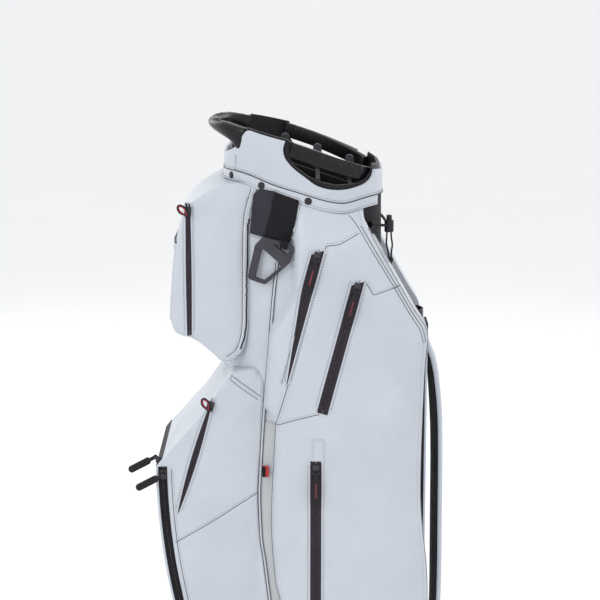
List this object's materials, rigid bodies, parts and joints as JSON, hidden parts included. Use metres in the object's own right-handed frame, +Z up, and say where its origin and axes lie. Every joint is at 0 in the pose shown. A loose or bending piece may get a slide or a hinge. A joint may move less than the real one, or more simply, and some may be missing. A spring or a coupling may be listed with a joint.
{
  "type": "golf staff bag",
  "caption": "Upright golf staff bag with a divided club tube, moulded grab handles, zipped side, ball and valuables pockets, towel ring, umbrella well and shoulder strap.",
  "frame": {"origin": "on the ground under the middle of the base", "axes": "+Z up along the club tube, -X to the front with the ball pocket, +X to the back with the umbrella well and strap, -Y the towel ring side"},
  "size_m": [0.4521, 0.304, 0.912],
  "materials": {
    "shell_leather": "pale cool white grained synthetic leather, satin",
    "grey_leather": "mid grey smooth synthetic leather",
    "moulded_black": "black moulded nylon, soft gloss",
    "lug_grey": "dark grey moulded pads",
    "ring_grey": "dark grey satin moulded ring",
    "sole_rubber": "ribbed black rubber",
    "screw_steel": "zinc plated",
    "tube_liner": "black brushed lining",
    "spine_fabric": "black ballistic weave",
    "anchor_webbing": "black webbing",
    "rivet_black": "black domed snap",
    "elastic_cord": "black braided elastic",
    "lock_plastic": "black moulded",
    "tab_red": "red and black woven tab",
    "zip_tape": "black coated zip tape",
    "zip_metal": "black enamelled",
    "pull_rubber": "black moulded with a thin dark red line",
    "loop_red": "red and black loop"
  },
  "bodies": {
    "bag": {"back_panel": "shell_leather", "ball_pocket": "shell_leather", "base_cup": "moulded_black", "base_screws": "screw_steel", "base_sole": "sole_rubber", "body_skin": "shell_leather", "club_tube": "tube_liner", "collar_band": "shell_leather", "collar_rivets": "rivet_black", "collar_shell": "shell_leather", "cord_anchors": "anchor_webbing", "cord_knot": "elastic_cord", "cord_lock": "lock_plastic", "cord_tails": "elastic_cord", "divider_caps": "moulded_black", "divider_lugs": "lug_grey", "divider_panels": "tube_liner", "front_handle": "moulded_black", "gusset_far": "grey_leather", "gusset_near": "grey_leather", "side_grip_far": "moulded_black", "side_grip_near": "moulded_black", "side_pocket_far": "shell_leather", "side_pocket_near": "shell_leather", "side_tab": "tab_red", "spine_panel": "spine_fabric", "strap_anchors": "anchor_webbing", "strap_cover": "shell_leather", "strap_lining": "spine_fabric", "top_ring": "moulded_black", "towel_strap": "anchor_webbing", "umbrella_cord": "elastic_cord", "umbrella_tube": "moulded_black", "upper_pocket": "shell_leather", "zip_ball_tape": "zip_tape", "zip_far_panel_tape": "zip_tape", "zip_front_panel_tape": "zip_tape", "zip_front_tape": "zip_tape", "zip_lower_panel_tape": "zip_tape", "zip_mid_panel_tape": "zip_tape", "zip_slash_tape": "zip_tape", "zip_upper_tape": "zip_tape"},
    "zip_upper_slider": {"zip_upper_slider": "zip_metal"},
    "zip_upper_pull": {"zip_upper_pull": "loop_red"},
    "zip_slash_slider": {"zip_slash_slider": "zip_metal"},
    "zip_slash_pull": {"zip_slash_pull": "loop_red"},
    "zip_front_panel_slider": {"zip_front_panel_slider": "zip_metal"},
    "zip_front_panel_pull": {"zip_front_panel_pull": "pull_rubber"},
    "zip_mid_panel_slider": {"zip_mid_panel_slider": "zip_metal"},
    "zip_mid_panel_pull": {"zip_mid_panel_pull": "pull_rubber"},
    "zip_lower_panel_slider": {"zip_lower_panel_slider": "zip_metal"},
    "zip_lower_panel_pull": {"zip_lower_panel_pull": "pull_rubber"},
    "zip_far_panel_slider": {"zip_far_panel_slider": "zip_metal"},
    "zip_far_panel_pull": {"zip_far_panel_pull": "pull_rubber"},
    "zip_side_slider": {"zip_side_slider": "zip_metal"},
    "zip_side_pull": {"zip_side_pull": "pull_rubber"},
    "zip_front_slider": {"zip_front_slider": "zip_metal"},
    "zip_front_pull": {"zip_front_pull": "pull_rubber"},
    "towel_ring": {"towel_ring": "ring_grey"},
    "cord_lock_button": {"cord_lock_button": "lock_plastic"}
  },
  "joints": [
    {"name": "zip_upper_slide", "type": "slide", "parent": "bag", "child": "zip_upper_slider", "axis": [0, 0, -1], "range_m": [0, 0.162]},
    {"name": "zip_upper_swing", "type": "hinge", "parent": "zip_upper_slider", "child": "zip_upper_pull", "pos_m": [-0.1635, -0.1034, 0.785], "axis": [-1, 0, 0], "range_deg": [0, 165]},
    {"name": "zip_slash_slide", "type": "slide", "parent": "bag", "child": "zip_slash_slider", "axis": [-0.2884, 0, -0.9575], "range_m": [0, 0.1511]},
    {"name": "zip_slash_swing", "type": "hinge", "parent": "zip_slash_slider", "child": "zip_slash_pull", "pos_m": [-0.13646, -0.1124, 0.50951], "axis": [-0.9575, 0, 0.2884], "range_deg": [0, 165]},
    {"name": "zip_front_panel_slide", "type": "slide", "parent": "bag", "child": "zip_front_panel_slider", "axis": [-0.26, 0, -0.9656], "range_m": [0, 0.1715]},
    {"name": "zip_front_panel_swing", "type": "hinge", "parent": "zip_front_panel_slider", "child": "zip_front_panel_pull", "pos_m": [0.01288, -0.1494, 0.73041], "axis": [-0.9656, 0, 0.26], "range_deg": [0, 165]},
    {"name": "zip_mid_panel_slide", "type": "slide", "parent": "bag", "child": "zip_mid_panel_slider", "axis": [-0.255, 0, -0.9669], "range_m": [0, 0.1712]},
    {"name": "zip_mid_panel_swing", "type": "hinge", "parent": "zip_mid_panel_slider", "child": "zip_mid_panel_pull", "pos_m": [0.06794, -0.1494, 0.6874], "axis": [-0.9669, 0, 0.255], "range_deg": [0, 165]},
    {"name": "zip_lower_panel_slide", "type": "slide", "parent": "bag", "child": "zip_lower_panel_slider", "axis": [0, 0, -1], "range_m": [0, 0.273]},
    {"name": "zip_lower_panel_swing", "type": "hinge", "parent": "zip_lower_panel_slider", "child": "zip_lower_panel_pull", "pos_m": [0.0135, -0.1494, 0.428], "axis": [-1, 0, 0], "range_deg": [0, 165]},
    {"name": "zip_far_panel_slide", "type": "slide", "parent": "bag", "child": "zip_far_panel_slider", "axis": [0, 0, -1], "range_m": [0, 0.433]},
    {"name": "zip_far_panel_swing", "type": "hinge", "parent": "zip_far_panel_slider", "child": "zip_far_panel_pull", "pos_m": [0.03, 0.1494, 0.688], "axis": [1, 0, 0], "range_deg": [0, 165]},
    {"name": "zip_side_slide", "type": "hinge", "parent": "bag", "child": "zip_side_slider", "pos_m": [0.79695, -0.105, 0.43083], "axis": [0, -1, 0], "range_deg": [0, 16.34]},
    {"name": "zip_side_swing", "type": "hinge", "parent": "zip_side_slider", "child": "zip_side_pull", "pos_m": [-0.20288, -0.1126, 0.415], "axis": [0, 1, 0], "range_deg": [-50, 100]},
    {"name": "zip_front_slide", "type": "slide", "parent": "bag", "child": "zip_front_slider", "axis": [0, 1, 0], "range_m": [0, 0.178]},
    {"name": "zip_front_swing", "type": "hinge", "parent": "zip_front_slider", "child": "zip_front_pull", "pos_m": [-0.2149, -0.09, 0.4348], "axis": [0, 1, 0], "range_deg": [-30, 60]},
    {"name": "towel_ring_swing", "type": "hinge", "parent": "bag", "child": "towel_ring", "pos_m": [-0.03101, -0.12442, 0.74871], "axis": [-0.9326, 0.303, 0.1961], "range_deg": [0, 110]},
    {"name": "cord_lock_press", "type": "slide", "parent": "bag", "child": "cord_lock_button", "axis": [0, 0, -1], "range_m": [0, 0.0035], "stiffness_N_per_m": 400, "springref_m": -0.001}
  ]
}
